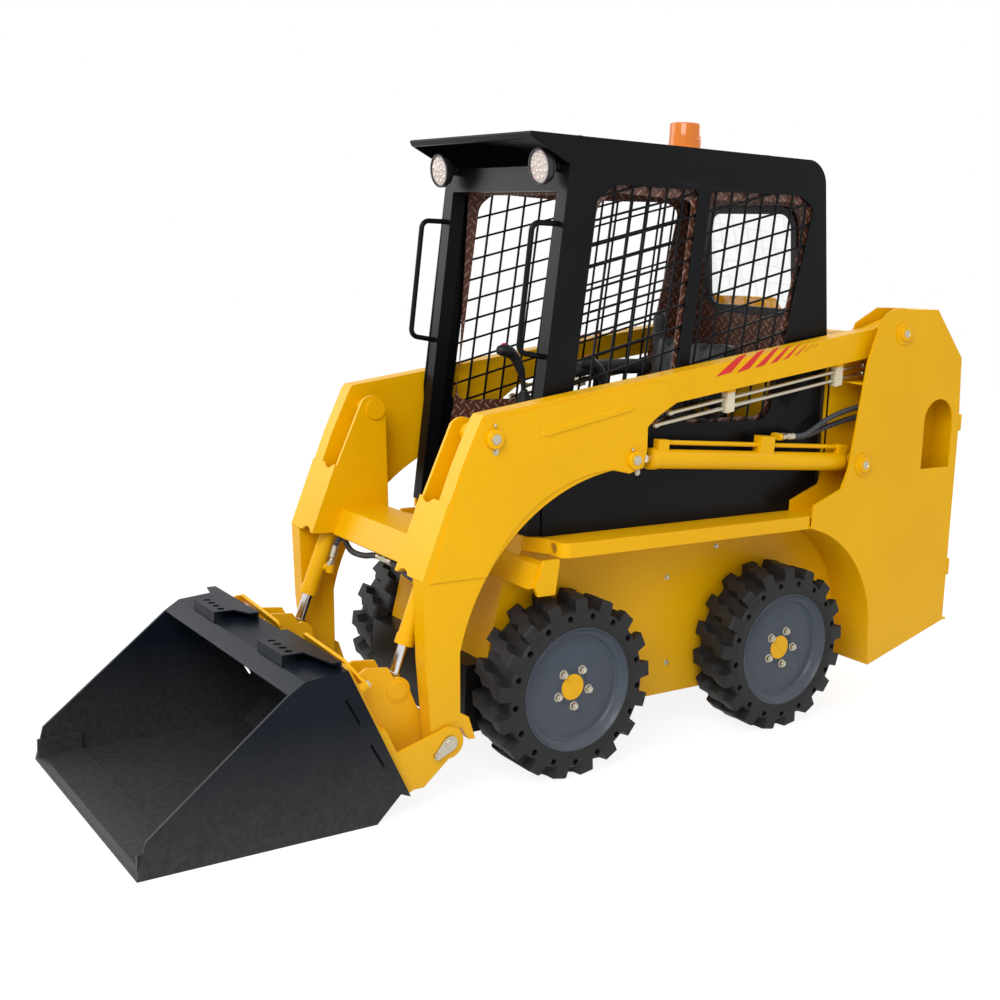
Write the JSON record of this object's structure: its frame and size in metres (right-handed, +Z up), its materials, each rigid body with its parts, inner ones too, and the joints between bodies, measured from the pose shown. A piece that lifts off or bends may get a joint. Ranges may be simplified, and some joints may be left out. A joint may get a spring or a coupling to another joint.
{
  "type": "skid steer loader",
  "caption": "Compact skid steer loader with radial lift arms, quick coupler and bucket, open-front guarded cab, rear door and solid-tyred wheels.",
  "frame": {"origin": "on the ground under the middle of the whole machine's box, bucket lip to rear door hinges", "axes": "+Z up, -Y the way the machine drives forwards, +X its left side"},
  "size_m": [1.032, 3.258, 2.176],
  "materials": {
    "yellow": "gloss enamel",
    "black": "satin enamel",
    "cast": "as cast",
    "pins": "gloss enamel",
    "chrome": "hard chrome",
    "rim": "satin enamel",
    "tyre": "solid rubber",
    "vinyl": "matt vinyl",
    "lining": "tread plate, enamel",
    "gasket": "moulded strip",
    "glass": "safety glass",
    "amber": "clear moulding",
    "plastic": "moulded clamp",
    "lamp": "die cast, painted"
  },
  "bodies": {
    "chassis": {"frame_tub": "yellow", "front_bumper": "yellow", "axle_tubes": "cast", "fender_rails": "yellow", "lower_side_panels": "black", "tower_left": "yellow", "tower_right": "yellow", "tower_pins": "pins", "engine_block": "cast", "engine_mounts": "cast", "engine_cover": "yellow", "hinge_lugs": "yellow", "cab_floor": "black", "cab_side_left": "black", "cab_side_right": "black", "mesh_guards": "black", "cab_front_frame": "black", "cab_rear_panel": "black", "cab_roof": "black", "beacon": "amber", "work_lamps": "lamp", "grab_handles": "black", "footwell_box": "black", "cab_linings": "lining", "rear_gasket": "gasket", "rear_window": "glass", "roof_hatch": "black", "seat_base": "black", "seat_cushion": "vinyl", "seat_back": "vinyl", "control_levers": "black"},
    "rear_door": {"rear_door": "yellow"},
    "lift_arms": {"arm_left": "yellow", "arm_right": "yellow", "cross_member": "yellow", "arm_pins": "pins", "arm_tubes": "chrome", "tube_clamps": "plastic"},
    "lift_barrels": {"lift_barrels": "yellow"},
    "lift_rods": {"lift_rods": "chrome"},
    "tilt_barrels": {"tilt_barrels": "yellow"},
    "tilt_rods": {"tilt_rods": "chrome"},
    "bucket": {"coupler": "yellow", "coupler_pins": "pins", "latch_levers": "yellow", "bucket_shell": "black", "bucket_steps": "black"},
    "wheel_front_left": {"tyre_front_left": "tyre", "rim_front_left": "rim"},
    "wheel_front_right": {"tyre_front_right": "tyre", "rim_front_right": "rim"},
    "wheel_rear_left": {"tyre_rear_left": "tyre", "rim_rear_left": "rim"},
    "wheel_rear_right": {"tyre_rear_right": "tyre", "rim_rear_right": "rim"}
  },
  "joints": [
    {"name": "lift", "type": "hinge", "parent": "chassis", "child": "lift_arms", "pos_m": [0, 1.247, 1.442], "axis": [-1, 0, 0], "range_deg": [0, 66]},
    {"name": "lift_barrel_swing", "type": "hinge", "parent": "chassis", "child": "lift_barrels", "pos_m": [0, 1.073, 0.957], "axis": [-1, 0, 0], "range_deg": [0, 60.1]},
    {"name": "lift_rod_slide", "type": "slide", "parent": "lift_barrels", "child": "lift_rods", "axis": [0, -0.9976, 0.0686], "range_m": [0, 0.5455]},
    {"name": "bucket_tilt", "type": "hinge", "parent": "lift_arms", "child": "bucket", "pos_m": [0, -0.669, 0.198], "axis": [1, 0, 0], "range_deg": [-28, 106]},
    {"name": "tilt_barrel_swing", "type": "hinge", "parent": "lift_arms", "child": "tilt_barrels", "pos_m": [0, -0.536, 1.125], "axis": [1, 0, 0], "range_deg": [-0.8, 2.8]},
    {"name": "tilt_rod_slide", "type": "slide", "parent": "tilt_barrels", "child": "tilt_rods", "axis": [0, -0.3262, -0.9453], "range_m": [-0.0835, 0.3145]},
    {"name": "rear_door_swing", "type": "hinge", "parent": "chassis", "child": "rear_door", "pos_m": [0.492, 1.62, 0.8], "axis": [0, 0, -1], "range_deg": [0, 110]},
    {"name": "wheel_front_left_spin", "type": "hinge", "parent": "chassis", "child": "wheel_front_left", "pos_m": [0.42, -0.208, 0.3], "axis": [1, 0, 0], "continuous": true},
    {"name": "wheel_front_right_spin", "type": "hinge", "parent": "chassis", "child": "wheel_front_right", "pos_m": [-0.42, -0.208, 0.3], "axis": [1, 0, 0], "continuous": true},
    {"name": "wheel_rear_left_spin", "type": "hinge", "parent": "chassis", "child": "wheel_rear_left", "pos_m": [0.42, 0.722, 0.3], "axis": [1, 0, 0], "continuous": true},
    {"name": "wheel_rear_right_spin", "type": "hinge", "parent": "chassis", "child": "wheel_rear_right", "pos_m": [-0.42, 0.722, 0.3], "axis": [1, 0, 0], "continuous": true}
  ],
  "couplings": [
    {"joint": "lift_barrel_swing", "follows": "lift", "ratio": 0.91018},
    {"joint": "lift_rod_slide", "follows": "lift", "m_per_rad": 0.47287},
    {"joint": "tilt_barrel_swing", "follows": "bucket_tilt", "ratio": 0.025},
    {"joint": "tilt_rod_slide", "follows": "bucket_tilt", "m_per_rad": 0.16973}
  ]
}
